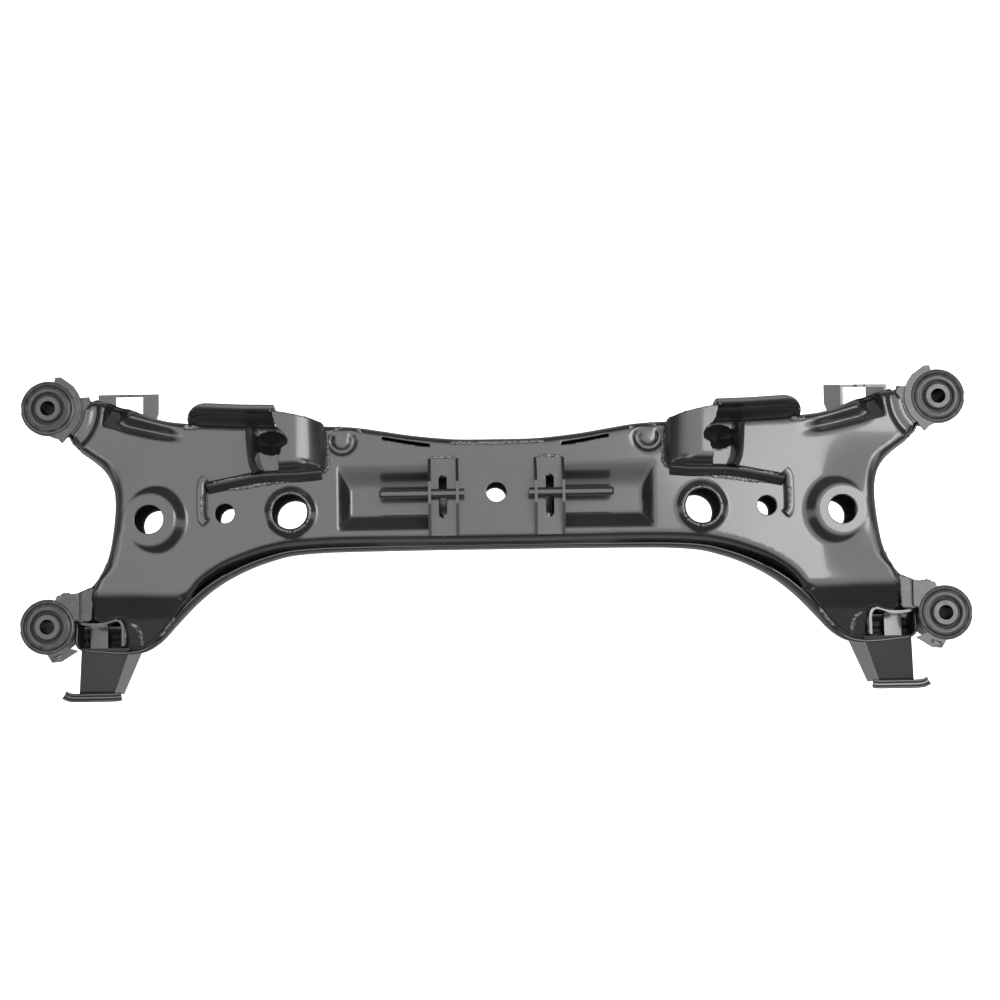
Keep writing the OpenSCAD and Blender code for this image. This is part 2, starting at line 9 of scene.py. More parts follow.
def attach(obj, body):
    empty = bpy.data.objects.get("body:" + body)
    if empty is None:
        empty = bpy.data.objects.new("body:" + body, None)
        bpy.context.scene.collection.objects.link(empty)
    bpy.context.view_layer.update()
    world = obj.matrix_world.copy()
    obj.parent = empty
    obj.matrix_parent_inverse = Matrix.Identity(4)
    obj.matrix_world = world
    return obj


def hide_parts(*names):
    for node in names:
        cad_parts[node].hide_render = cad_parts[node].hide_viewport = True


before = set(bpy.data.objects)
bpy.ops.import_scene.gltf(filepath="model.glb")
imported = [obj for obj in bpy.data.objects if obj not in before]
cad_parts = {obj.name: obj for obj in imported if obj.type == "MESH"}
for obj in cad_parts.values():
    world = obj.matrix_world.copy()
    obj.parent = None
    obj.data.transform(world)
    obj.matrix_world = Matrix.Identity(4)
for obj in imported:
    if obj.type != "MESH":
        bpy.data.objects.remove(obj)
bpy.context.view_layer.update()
MM = 0.001

# Levels and sizes in millimetres, as in the part's source
TOP = 140.0
LOW = 60.0
SHEET = 2.5
FOLD = 9.0
# Plan radius of the panels' corners beside the bushes
CORNER_R = FOLD + SHEET
BUSH_X = 487.0
REAR_BUSH = (BUSH_X, 110.0)
FRONT_BUSH = (BUSH_X, -128.0)
# Radii of the tray's seat round a can and of the lid's edge round the rear bush
SEAT_R = 24.0
LID_SEAT_R = 39.5
# The plan lines are drawn about the beam's own middle line, which lies this far behind the origin
MID_Y = 32.0


# Plan lines
def blend(a, b, c, d, t):
    """A point between b and c on the smooth curve through a, b, c and d."""
    return 0.5 * (2 * b + (c - a) * t + (2 * a - 5 * b + 4 * c - d) * t * t
                  + (3 * b - a - 3 * c + d) * t ** 3)


def curve(points, steps=8):
    """A smooth curve through points, with a number of steps between each two."""
    p = [np.array(q, float) for q in points]
    last = len(p) - 1
    out = []
    for i in range(last):
        for k in range(steps):
            out.append(blend(p[max(i - 1, 0)], p[i], p[i + 1], p[min(i + 2, last)], k / steps))
    return out + [p[last]]


def arc(centre, radius, start, end, steps=10):
    """Points along an arc between two angles in degrees."""
    angles = np.radians(np.linspace(start, end, steps + 1))
    return [np.array([centre[0] + radius * math.cos(a), centre[1] + radius * math.sin(a)])
            for a in angles]


def whole(half):
    """Closes a right-hand half line with its mirror image, counter-clockwise."""
    half = [np.array(p, float) for p in half]
    mirror_image = [np.array([-p[0], p[1]]) for p in half[-2:0:-1]]
    return np.array((half + mirror_image)[::-1])


def lengths_along(points):
    """Distance from a line's start to each of its points."""
    return np.concatenate([[0], np.cumsum(np.linalg.norm(np.diff(points, axis=0), axis=1))])


def points_at(points, marks):
    """Points of a line at given distances from its start."""
    lengths = lengths_along(points)
    return np.stack([np.interp(marks, lengths, points[:, k]) for k in (0, 1)], axis=1)


def even(loop, step):
    """Points at an even step along a closed line."""
    closed = np.vstack([loop, loop[:1]])
    total = lengths_along(closed)[-1]
    return points_at(closed, np.linspace(0, total, max(int(total / step), 8), endpoint=False))


def left_of(line):
    """Unit vectors to the left of an open line, at each of its points."""
    tangent = np.gradient(line, axis=0)
    left = np.stack([-tangent[:, 1], tangent[:, 0]], axis=1)
    return left / np.linalg.norm(left, axis=1, keepdims=True)


def inside(points, loop):
    """Which points lie within a closed line."""
    a, b = loop, np.roll(loop, -1, axis=0)
    x, y = points[:, :1], points[:, 1:]
    spans = (a[:, 1] > y) != (b[:, 1] > y)
    rise = np.where(b[:, 1] == a[:, 1], 1e-9, b[:, 1] - a[:, 1])
    crossing = a[:, 0] + (y - a[:, 1]) * (b[:, 0] - a[:, 0]) / rise
    return (spans & (x < crossing)).sum(axis=1) % 2 == 1


def distance(points, loop):
    """Distance of each point from a closed line, worked out in batches to save memory."""
    batch = 4000
    a, b = loop, np.roll(loop, -1, axis=0)
    edge = b - a
    size = np.maximum((edge ** 2).sum(axis=1), 1e-12)
    best = np.full(len(points), 1e9)
    for start in range(0, len(points), batch):
        p = points[start:start + batch, None, :]
        t = np.clip(((p - a) * edge).sum(axis=2) / size, 0, 1)
        gap = np.linalg.norm(p - (a + t[..., None] * edge), axis=2)
        best[start:start + batch] = gap.min(axis=1)
    return best


def step_up(v, a, b):
    """Smooth step from 0 at a to 1 at b."""
    t = np.clip((v - a) / (b - a), 0, 1)
    return t * t * (3 - 2 * t)


def bell(v, width):
    return np.exp(-(v / width) ** 2)


# Materials
def node_material(name, build):
    mat = bpy.data.materials.new(name)
    mat.use_nodes = True
    nodes, links = mat.node_tree.nodes, mat.node_tree.links
    nodes.clear()
    out = nodes.new("ShaderNodeOutputMaterial")
    shader = nodes.new("ShaderNodeBsdfPrincipled")
    links.new(shader.outputs["BSDF"], out.inputs["Surface"])
    build(nodes, links, shader)
    return mat


def noise_value(nodes, links, scale, detail=3.0):
    coords = nodes.new("ShaderNodeTexCoord")
    tex = nodes.new("ShaderNodeTexNoise")
    tex.inputs["Scale"].default_value = scale
    tex.inputs["Detail"].default_value = detail
    links.new(coords.outputs["Object"], tex.inputs["Vector"])
    return tex.outputs["Fac"]


def grey_ramp(nodes, links, source, span, greys, target):
    """Turns a source value, over its span, into a grey between two greys for a target socket."""
    ramp = nodes.new("ShaderNodeValToRGB")
    for element, place, value in zip(ramp.color_ramp.elements, span, greys):
        element.position = place
        element.color = (value, value, value, 1)
    links.new(source, ramp.inputs["Fac"])
    links.new(ramp.outputs["Color"], target)


def bump_node(nodes, links, shader, source, strength, depth):
    bump = nodes.new("ShaderNodeBump")
    bump.inputs["Strength"].default_value = strength
    bump.inputs["Distance"].default_value = depth
    links.new(source, bump.inputs["Height"])
    links.new(bump.outputs["Normal"], shader.inputs["Normal"])


def paint(nodes, links, shader):
    """Glossy black paint: slightly uneven gloss and a faint orange peel."""
    cloud = noise_value(nodes, links, 9.0)
    grey_ramp(nodes, links, cloud, (0.35, 0.65), (0.010, 0.015), shader.inputs["Base Color"])
    grey_ramp(nodes, links, cloud, (0.3, 0.7), (0.20, 0.27), shader.inputs["Roughness"])
    peel = noise_value(nodes, links, 420.0, 2.0)
    bump_node(nodes, links, shader, peel, 0.03, 0.0006)
    shader.inputs["Coat Weight"].default_value = 0.5
    shader.inputs["Coat Roughness"].default_value = 0.08


def weld_paint_with_painted_glints(nodes, links, shader):
    """Paint over the rough ripples of a weld bead, with painted glints as light specks in its colour."""
    cloud = noise_value(nodes, links, 300.0, 4.0)
    # Light specks in the colour: painted glints on the rough glossy bead
    grey_ramp(nodes, links, cloud, (0.4, 0.7), (0.02, 0.14), shader.inputs["Base Color"])
    shader.inputs["Roughness"].default_value = 0.16
    bump_node(nodes, links, shader, cloud, 0.5, 0.0012)


def rubber(nodes, links, shader):
    """Matt rubber with a fine grain."""
    cloud = noise_value(nodes, links, 160.0)
    grey_ramp(nodes, links, cloud, (0.3, 0.7), (0.012, 0.025), shader.inputs["Base Color"])
    shader.inputs["Roughness"].default_value = 0.6
    bump_node(nodes, links, shader, cloud, 0.25, 0.0008)


def bush_metal(nodes, links, shader):
    """Duller painted steel of the bushes, with worn specks."""
    cloud = noise_value(nodes, links, 140.0, 6.0)
    grey_ramp(nodes, links, cloud, (0.45, 0.8), (0.018, 0.06), shader.inputs["Base Color"])
    grey_ramp(nodes, links, cloud, (0.3, 0.7), (0.26, 0.42), shader.inputs["Roughness"])
    bump_node(nodes, links, shader, cloud, 0.3, 0.0008)


def core_metal_painted_shade(nodes, links, shader):
    """Bush core: painted steel on its faces; along the bore and the sides a painted shade, darker and
    duller where the faces stand upright.
    """
    bush_metal(nodes, links, shader)
    shape = nodes.new("ShaderNodeNewGeometry")
    split = nodes.new("ShaderNodeSeparateXYZ")
    links.new(shape.outputs["True Normal"], split.inputs["Vector"])
    upright = nodes.new("ShaderNodeMath")
    upright.operation = "ABSOLUTE"
    links.new(split.outputs["Z"], upright.inputs[0])
    facing, span = upright.outputs["Value"], (0.2, 0.6)
    # Painted shade: upright faces reflect less
    grey_ramp(nodes, links, facing, span, (0.02, 0.5), shader.inputs["Specular IOR Level"])
    # Painted shade: upright faces get a darker colour; this takes the place of the worn colour
    grey_ramp(nodes, links, facing, span, (0.002, 0.03), shader.inputs["Base Color"])


PAINT = node_material("gloss_black_paint", paint)
WELD_PAINTED_GLINTS = node_material("weld_paint_with_painted_glints", weld_paint_with_painted_glints)
RUBBER = node_material("bush_rubber", rubber)
STEEL = node_material("bush_steel", bush_metal)
CORE_PAINTED_SHADE = node_material("bush_core_steel_painted_shade", core_metal_painted_shade)

for name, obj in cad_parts.items():
    obj.data.materials.clear()
    kind = PAINT
    for start, material in (("bush_", STEEL), ("bush_rubber", RUBBER), ("bush_core", CORE_PAINTED_SHADE)):
        if name.startswith(start):
            kind = material
    obj.data.materials.append(kind)


# Pieces and their meshes
def add_piece(name, verts, faces, material, slot, replaces=(), sharp=40.0):
    """A smooth mesh from points in millimetres, as a piece on the part's one body."""
    mesh = bpy.data.meshes.new(name)
    places = [(x * MM, (y + MID_Y) * MM, z * MM) for x, y, z in verts]
    mesh.from_pydata(places, [], faces)
    mesh.validate()
    mesh.update()
    mesh.shade_smooth()
    mesh.set_sharp_from_angle(angle=math.radians(sharp))
    mesh.materials.append(material)
    piece = bpy.data.objects.new(name, mesh)
    bpy.context.scene.collection.objects.link(piece)
    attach(piece, "root")
    for node in replaces:
        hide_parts(node)
    return piece


def thicken(piece, thickness, offset):
    """Gives a sheet its thickness: inwards at offset -1, both ways at 0, outwards at 1."""
    solid = piece.modifiers.new("sheet", "SOLIDIFY")
    solid.thickness = thickness * MM
    solid.offset = offset


def sheet_faces(rows, n, closed=False):
    """Quads between rows of n points each; a closed row joins its last point to its first."""
    faces = []
    for j in range(rows - 1):
        for i in range(n if closed else n - 1):
            k = (i + 1) % n
            faces.append((j * n + i, j * n + k, (j + 1) * n + k, (j + 1) * n + i))
    return faces


def lathe(name, centre, base, profile, slot, steps=72):
    """A turned steel ring; the profile gives radii and heights above a base."""
    verts = []
    for radius, rise in profile:
        for k in range(steps):
            a = 2 * math.pi * k / steps
            spot = (centre[0] + radius * math.cos(a), centre[1] + radius * math.sin(a))
            verts.append((*spot, base + rise))
    add_piece(name, verts, sheet_faces(len(profile), steps, closed=True), STEEL, slot, sharp=50)


# Pressed sheets: how near free points come to the outer line and to a hole, and the rings round a hole
EDGE_CLEAR = 0.35
RIM_CLEAR = 0.6
RIM_RINGS = (1.2, 3.0)
# Height of an even-sided triangle with sides of 1
TRIANGLE_HEIGHT = 0.866


def grid(loop, step):
    """A triangular lattice over the box of a line."""
    lo, hi = loop.min(axis=0), loop.max(axis=0)
    row_gap = step * TRIANGLE_HEIGHT
    count = int(max(abs(lo[0]), abs(hi[0])) / step) + 2
    rows = []
    for j, y in enumerate(np.arange(lo[1], hi[1] + row_gap, row_gap)):
        x = (np.arange(-count, count + 1) + 0.5 * (j % 2)) * step
        rows.append(np.stack([x, np.full_like(x, y)], axis=1))
    points = np.vstack(rows)
    return points[(points[:, 0] > lo[0]) & (points[:, 0] < hi[0])]


def inset_rows(line, insets):
    """Rows of points inside a closed line, left out where they would crowd in a corner."""
    crowded = 0.93
    tangent = np.roll(line, -1, axis=0) - np.roll(line, 1, axis=0)
    normal = np.stack([-tangent[:, 1], tangent[:, 0]], axis=1)
    normal /= np.maximum(np.linalg.norm(normal, axis=1, keepdims=True), 1e-9)
    rows = []
    for inset in insets:
        row = line + normal * inset
        rows.append(row[distance(row, line) > inset * crowded])
    return rows


def rim_rings(hole):
    """Rings of points close round a hole."""
    centre = hole.mean(axis=0)
    away = (hole - centre) / np.linalg.norm(hole - centre, axis=1, keepdims=True)
    return [hole + away * gap for gap in RIM_RINGS]


def loop_edges(loops):
    """Index pairs along closed loops whose points follow each other in one list."""
    edges, start = [], 0
    for loop in loops:
        n = len(loop)
        edges += [(start + i, start + (i + 1) % n) for i in range(n)]
        start += n
    return edges


def pressed(loop, holes, height, step, insets=(), extra=()):
    """A sheet over a plan line with holes; height gives z at each plan point.

    The vertices of the outer line come first, in order, then those of each hole.
    """
    outer = even(loop, step)
    rims = [np.array(hole) for hole in holes]
    free = [grid(loop, step)] + inset_rows(outer, insets)
    for rim in rims:
        free += rim_rings(rim)
    inner = np.vstack(free + [np.asarray(patch, float) for patch in extra])
    inner = inner[inside(inner, outer)]
    inner = inner[distance(inner, outer) > EDGE_CLEAR]
    for rim in rims:
        inner = inner[~inside(inner, rim)]
        inner = inner[distance(inner, rim) > RIM_CLEAR]
    # Points in the same quarter-millimetre cell are taken once
    first = np.unique(np.round(inner * 4).astype(int), axis=0, return_index=True)[1]
    flat = np.vstack([outer] + rims + [inner[np.sort(first)]])
    found = delaunay_2d_cdt([Vector(p) for p in flat], loop_edges([outer] + rims), [], 0, 1e-4)
    plan = np.array([tuple(v) for v in found[0]])
    triangles = np.array([face for face in found[2] if len(face) == 3])
    middle = plan[triangles].mean(axis=1)
    keep = inside(middle, outer)
    for rim in rims:
        keep &= ~inside(middle, rim)
    z = height(plan[:, 0], plan[:, 1])
    verts = [(p[0], p[1], h) for p, h in zip(plan, z)]
    return verts, [tuple(int(i) for i in t) for t in triangles[keep]], len(outer)


# Outlines of the two pressings, right-hand half from the rear middle to the front middle
rear_line = curve([(0, 70), (45, 70.6), (90, 75), (125, 80.5), (160, 85.5), (215, 87.5), (275, 89),
                   (330, 91.5), (366, 96), (404, 109.5), (427, 116.5)])
end_line = curve([(452, 64.5), (438, 54.5), (425.5, 42.5), (417, 25), (414, 5), (415.5, -20),
                  (419.5, -45), (425, -62), (431.5, -74)])
front_line = curve([(334, -98), (323, -83), (309, -72), (292, -62.3), (271, -54), (250, -47.6),
                    (226, -43), (192, -40.6), (150, -40), (100, -40.3), (50, -40.5), (0, -40.5)])
front_wall = curve([(344, -114), (331, -101), (314, -87), (295, -75), (273, -64.4), (251, -56.6),
                    (227, -50.6), (193, -47.8), (150, -47), (100, -46.7), (50, -46.5), (0, -46.5)])
apron_side = curve([(437, -86), (441, -97), (442, -108), (442, -121), (433, -123.5), (424, -122),
                    (414, -118.5), (408, -121), (406.5, -130), (406, -150)], 4)
apron_front = curve([(399, -153), (388, -151), (374, -142), (360, -128), (347, -112), (338, -101)], 4)
arm_front = curve([(436, -155.5), (420, -157), (403, -157), (387, -153.5), (371, -143), (357, -128)])
lid_line = whole(rear_line
                 + arc((BUSH_X - LID_SEAT_R - CORNER_R, 118.2 - CORNER_R), CORNER_R, 94, 4)
                 + arc(REAR_BUSH, LID_SEAT_R, 191, 226) + [(459.5, 73.5)] + end_line
                 + apron_side + apron_front + front_line)
tray_line = whole(rear_line[:-1]
                  + arc((BUSH_X - SEAT_R - CORNER_R, 121 - CORNER_R), CORNER_R, 94, 4)
                  + arc(REAR_BUSH, SEAT_R, 187, 230) + [(461.5, 71)] + end_line
                  + [(443, -88), (452, -99)] + arc(FRONT_BUSH, SEAT_R, 142, 190)
                  + arc((BUSH_X - SEAT_R + 1 - CORNER_R, -154 + CORNER_R), CORNER_R, 12, -84)
                  + arm_front + front_wall)
# In front of this line the lid's edge belongs to the apron over the front arm
APRON_Y = -99

# Holes and pressed features of the right-hand half
BOSS = (376.0, -14.0)
BOSS_HOLE_R = 15.6
COLLAR = (224.0, -8.0)
COLLAR_HOLE_R = 18.2
SMALL = (295.0, -8.0)
SMALL_HOLE_R = 10.6
CENTRE = (0.0, 11.0)
CENTRE_HOLE_R = 10.8
# The tray's holes are larger in radius than the lid's by this much
TRAY_HOLE_MORE = 1.5
BUTTON = (167.5, 70.0)
TROUGH_A = np.array([338.0, 67.0])
TROUGH_B = np.array([429.5, 89.0])
REAR_SLOT = [(124, 72.2), (98, 67.4), (71.5, 63.2)]
REAR_SLOT_WIDTH = 3.6
HANGER_SLOT = [(54, 8), (58.5, 8), (63, 8)]
HANGER_SLOT_WIDTH = 40


def round_hole(centre, radius):
    return np.array(arc(centre, radius, 0, 360, max(int(radius * 3), 40))[:-1])


def long_hole(line, width):
    """A slot of even width along an open line."""
    line = np.array(curve(line, 6))
    return np.vstack([line - (0, width / 2), line[::-1] + (0, width / 2)])


def panel_holes(more, slots=()):
    """The holes of one panel: round ones, larger in radius by a margin, and slots."""
    right = [round_hole(BOSS, BOSS_HOLE_R + more), round_hole(SMALL, SMALL_HOLE_R + more),
             round_hole(COLLAR, COLLAR_HOLE_R + more), *slots]
    left = [hole * (-1, 1) for hole in right]
    return right + left + [round_hole(CENTRE, CENTRE_HOLE_R + more)]


# Heights of the upper pressing
def boss_rise(x, y):
    """Round boss that runs out into a gentle swelling at the end of the beam."""
    boss_high, flat_r, foot_r = 10, 26, 42
    swell_high, swell_from, swell_to = 9.5, 352, 402
    flat_half, foot_half = 12, 92
    rho = np.hypot(x - BOSS[0], y - BOSS[1])
    boss = boss_high * (1 - step_up(rho, flat_r, foot_r))
    sides = 1 - step_up(np.abs(y - BOSS[1]), flat_half, foot_half)
    return np.maximum(boss, swell_high * step_up(x, swell_from, swell_to) * sides)


def collar_rise(x, y):
    """Collar round a hole, with a small step down at the hole's edge."""
    high, flat_r, foot_r = 6, 20.5, 29.5
    step_deep, step_width = 2.5, 2
    rho = np.hypot(x - COLLAR[0], y - COLLAR[1])
    inner_step = step_deep * (1 - step_up(rho, COLLAR_HOLE_R, COLLAR_HOLE_R + step_width))
    return high * (1 - step_up(rho, flat_r, foot_r)) - inner_step


def recess_dip(x, y):
    """Long recess whose four walls each have a slope of their own."""
    deep, straight = 12, 0.75
    left, right, front, rear = 58, 172.5, -30, 44
    left_run, right_run, front_run, rear_run = 8, 14, 18, 27
    fall = np.minimum.reduce([(x - left) / left_run, (right - x) / right_run,
                              (y - front) / front_run, (rear - y) / rear_run])
    return -deep * (straight * np.clip(fall, 0, 1) + (1 - straight) * step_up(fall, 0, 1))


def button_dip(x, y):
    """Groove round the front half of the button at the rear edge."""
    deep, groove_r, groove_width, fade = 4.0, 12.5, 3.4, 12
    rho = np.hypot(x - BUTTON[0], y - BUTTON[1])
    return -deep * bell(rho - groove_r, groove_width) * (1 - step_up(y - BUTTON[1], 0, fade))


def trough_dip(x, y):
    """Dip beside the link bracket with a rib along it; it deepens outboard to a pocket."""
    shallow, deeper = 2, 8
    groove_at, groove_width = 7.5, 5.5
    rib_high, rib_at, rib_width = 1.5, 18, 4.5
    pocket_deep = 40
    along = (TROUGH_B - TROUGH_A) / np.linalg.norm(TROUGH_B - TROUGH_A)
    dx, dy = x - TROUGH_A[0], y - TROUGH_A[1]
    # Distances along the trough and across it
    t = dx * along[0] + dy * along[1]
    s = -dx * along[1] + dy * along[0]
    outboard = step_up(t, -2, 50)
    pocket = step_up(t, 64, 82)
    groove = -(shallow + deeper * outboard) * step_up(t, -8, 20) * bell(s - groove_at, groove_width)
    rib = rib_high * bell(s - rib_at, rib_width) * step_up(t, 12, 22) * (1 - pocket)
    sink = -pocket * np.clip(s, 0, pocket_deep) * (1 - step_up(t, 89, 95))
    return groove * (1 - pocket) + rib + sink


def arm_step(x, y):
    """Groove and low step round the rear bush plate."""
    groove_deep, groove_r, groove_width = 3.2, 52, 4.5
    step_deep, step_r, flat_r = 2.0, 44, 58
    rho = np.hypot(x - REAR_BUSH[0], y - REAR_BUSH[1])
    groove = -groove_deep * bell(rho - groove_r, groove_width)
    return groove - step_deep * (1 - step_up(rho, step_r, flat_r))


def tower_pit(x, y):
    """Dark gap between the tower's cut edge and its outboard wall."""
    middle_x, middle_y = 244, 68
    half_x, half_y, deep, steepness = 18, 13, 24, 0.8
    rho = np.hypot((x - middle_x) / half_x, (y - middle_y) / half_y)
    return -deep * np.clip(1 - rho, 0, 1) ** steepness


def apron_drop(y):
    """The panel turns down over the front arm and runs out less steeply."""
    bend_y, bend_half, steep_run = -95, 7, 24
    steep, gentle = np.tan(math.radians(40)), 0.6
    s = bend_y - y
    rounded = (s + bend_half) ** 2 / (4 * bend_half)
    bend = np.where(s < -bend_half, 0, np.where(s > bend_half, s, rounded))
    return -steep * np.minimum(bend, steep_run) - gentle * np.maximum(bend - steep_run, 0)


def fold_radius(x, y):
    """Radius of the lid's folded edge: wider at the ends, tight on the apron and at the rear bush."""
    wider, apron_fold, apron_side_x = 6, 2.5, 436
    seat_fold, seat_reach, seat_front, seat_rear = 1.2, 47, 78, 109
    radius = FOLD + wider * step_up(x, 385, 412) * step_up(y, -80, -60) * (1 - step_up(y, 40, 60))
    radius = np.where((y < APRON_Y) & (x < apron_side_x), apron_fold, radius)
    seat = np.hypot(x - REAR_BUSH[0], y - REAR_BUSH[1])
    return np.where((seat < seat_reach) & (y < seat_rear) & (y > seat_front), seat_fold, radius)


def fold_drop(gap, radius):
    """Fall of a rounded fold at a distance from the edge."""
    inward = np.clip(radius - gap, 0, radius)
    return radius - np.sqrt(np.maximum(radius ** 2 - inward ** 2, 0))


def lid_height(x, y):
    x = np.abs(x)
    gap = distance(np.stack([x, y], axis=1), lid_line)
    return (TOP + boss_rise(x, y) + collar_rise(x, y) + recess_dip(x, y) + button_dip(x, y)
            + trough_dip(x, y) + arm_step(x, y) + tower_pit(x, y) + apron_drop(y)
            - fold_drop(gap, fold_radius(x, y)))


def skirt(verts, count, target):
    """Adds one row to the outer line; target gives the place of each new point."""
    start = len(verts)
    verts += [target(v) for v in verts[:count]]
    return [(i, start + i, start + (i + 1) % count, (i + 1) % count) for i in range(count)]


def lid_skirt(v):
    """The front skirt leans out to the tray wall; the other edges hang straight."""
    apron_lip, front_deep, deep, least = 3, 22, 27, 4
    lean_most, lean_end, lean_run = 4.6, 342, 20
    x, y, z = v
    ax = abs(x)
    if y < APRON_Y or (y < -84 and ax > 425):
        return (x, y, z - apron_lip)
    if y < -30 and ax < 340:
        lean = lean_most * min(1.0, (lean_end - ax) / lean_run)
        slope = np.interp(ax, [200, 300, 335], [0, 0.55, 0.85])
        n = np.array([slope, -1.0]) / math.hypot(slope, 1)
        return (x + math.copysign(n[0] * lean, x), y + n[1] * lean, TOP - front_deep)
    return (x, y, min(TOP - deep, z - least))


def fine_patch(x0, x1, y0, y1, step=1.3):
    """Closer points over a box on the right-hand side and over its mirror image."""
    x, y = np.meshgrid(np.arange(x0, x1, step), np.arange(y0, y1, step))
    patch = np.stack([x.ravel(), y.ravel()], axis=1)
    return [patch, patch * (-1, 1)]


def build_lid():
    """Upper pressing, with closer points at the trough and at the tower's gap."""
    holes = panel_holes(0, [long_hole(REAR_SLOT, REAR_SLOT_WIDTH),
                            long_hole(HANGER_SLOT, HANGER_SLOT_WIDTH)])
    fine = fine_patch(333, 432, 64, 116) + fine_patch(228, 264, 54, 82)
    verts, faces, count = pressed(lid_line, holes, lid_height, 2.6,
                                  insets=(0.5, 1.2, 2.2, 3.6, 5.4, 7.4, 9.4), extra=fine)
    faces += [tuple(reversed(f)) for f in skirt(verts, count, lid_skirt)]
    lid = add_piece("lid_surface", verts, faces, PAINT, "black_paint", ["upper_panel"], sharp=55)
    thicken(lid, SHEET, -1)


# Lower pressing
def tray_rim(v):
    """The tray's wall ends under the lid, lower beside the link bracket and the front arm."""
    rim, end_rim = TOP - 12, TOP - 17
    link_notch, arm_notch = 18, 30
    x, y = abs(v[0]), v[1]
    z = end_rim
    if y > 60:
        z = rim - link_notch * step_up(x, 335, 352) * (1 - step_up(x, 436, 442))
    elif y < -75:
        z = rim - arm_notch * step_up(x, 330, 384) * (1 - step_up(y, -118, -96))
    return (v[0], v[1], z)


def tray_height(x, y):
    """A flat floor with a rounded edge; in the arm pocket it slopes."""
    slope, level_y = 0.9, -140
    x = np.abs(x)
    gap = distance(np.stack([x, y], axis=1), tray_line)
    pocket = step_up(x, 408, 414) * (1 - step_up(y, -128, -124))
    return LOW + fold_drop(gap, FOLD) + pocket * slope * np.abs(y - level_y)


def build_tray():
    verts, faces, count = pressed(tray_line, panel_holes(TRAY_HOLE_MORE), tray_height, 5.0,
                                  insets=(0.6, 1.8, 3.6, 6.0, 9.0))
    faces += skirt(verts, count, tray_rim)
    tray = add_piece("tray_surface", verts, faces, PAINT, "black_paint", ["lower_panel"], sharp=55)
    thicken(tray, SHEET, 1)


build_lid()
build_tray()


# Brackets; each is built for the right-hand side and mirrored for the left
def mirrored(verts, faces, side):
    if side > 0:
        return verts, faces
    return [(-x, y, z) for x, y, z in verts], [tuple(reversed(f)) for f in faces]


def ribbon(line, base, rows):
    """A sheet along a plan line; rows give offsets to the left of the line and heights above a base."""
    line = np.array(line, float)
    left = left_of(line)
    verts = []
    for offset, rise in rows:
        verts += [(p[0], p[1], base + rise) for p in line + left * offset]
    return verts, sheet_faces(len(rows), len(line))


def joined(parts):
    verts, faces = [], []
    for v, f in parts:
        faces += [tuple(i + len(verts) for i in face) for face in f]
        verts += v
    return verts, faces


def add_bracket(name, side, sheet, thickness, replaces, sharp):
    verts, faces = mirrored(*sheet, side)
    bracket = add_piece(name, verts, faces, PAINT, "black_paint", replaces, sharp)
    thicken(bracket, thickness, 0)


def add_filler(name, side, loop, height):
    """A plain plate that closes a seam beside a bush."""
    verts, faces = mirrored(*pressed(loop, [], height, 3.0)[:2], side)
    filler = add_piece(name, verts, faces, STEEL, "black_paint")
    thicken(filler, 2.0, -1)


CUT_EDGE = [(241.7, 100), (238.4, 86), (234, 79.6), (228, 74.7), (224.5, 69.6), (225, 64.3),
            (231, 60), (232.7, 54), (235, 48.5), (234.2, 41.4), (236, 34.3)]
TOWER_FOOT = [(225, 32), (206, 33.5), (191, 35), (185, 41), (183.8, 52), (184.5, 66), (186, 80),
              (188, 87)]
TOWER_REAR = [(200, 91.5), (214, 95), (228, 98)]


def tower_height(x, y):
    """Inboard tower wall: nearly flat on top, rolled down to the panel inboard and in front."""
    seam, high = 0.6, 28.5
    inboard_run, front_run = 40, 15
    dimple_x, dimple_y, dimple_high, dimple_width = 208, 41.5, 5, 4.5
    inboard = np.clip((x - (184 + 0.03 * np.maximum(y - 60, 0))) / inboard_run, 0, 1)
    front = np.clip((y - (36 - (x - 185) * 0.05)) / front_run, 0, 1)
    u = np.minimum(inboard, front)
    dimple = dimple_high * bell(np.hypot(x - dimple_x, y - dimple_y), dimple_width)
    return TOP + seam + high * np.sqrt(1 - (1 - u) ** 2) + dimple * (1 - front)


def build_tower(side, tag):
    """Inboard wall with its cut edge, outboard wall, front flange and the ridge beside them."""
    loop = np.array(CUT_EDGE + curve(TOWER_FOOT, 3) + TOWER_REAR)
    plate = pressed(loop, [], tower_height, 2.0, insets=(0.6, 1.5, 3.0))[:2]
    wall = ribbon(curve([(265, 82), (264, 64), (262, 46), (257, 35)], 5), TOP,
                  [(-5, 0), (-3, 10), (-1, 20), (0.5, 26), (2, 27.5), (3.5, 26), (4.5, 20), (6, 0)])
    flange_line = curve([(314, 22), (288, 27), (261, 32), (236, 33.5), (212, 34), (190, 36)], 6)
    flange = ribbon(flange_line, TOP, [(-4, 0), (-2.5, 7), (0, 9), (2, 8), (5.5, 3.5), (8, 0)])
    ridge_line = curve([(315, 30), (319, 24), (319.5, 8), (319, -12), (315, -18)], 6)
    ridge = ribbon(ridge_line, TOP, [(-5, 0), (-3.5, 6), (0, 8), (3, 7), (5, 0)])
    add_bracket("tower_shell_" + tag, side, joined([plate, wall, flange, ridge]), SHEET,
                ["tower_bracket_" + tag], sharp=50)


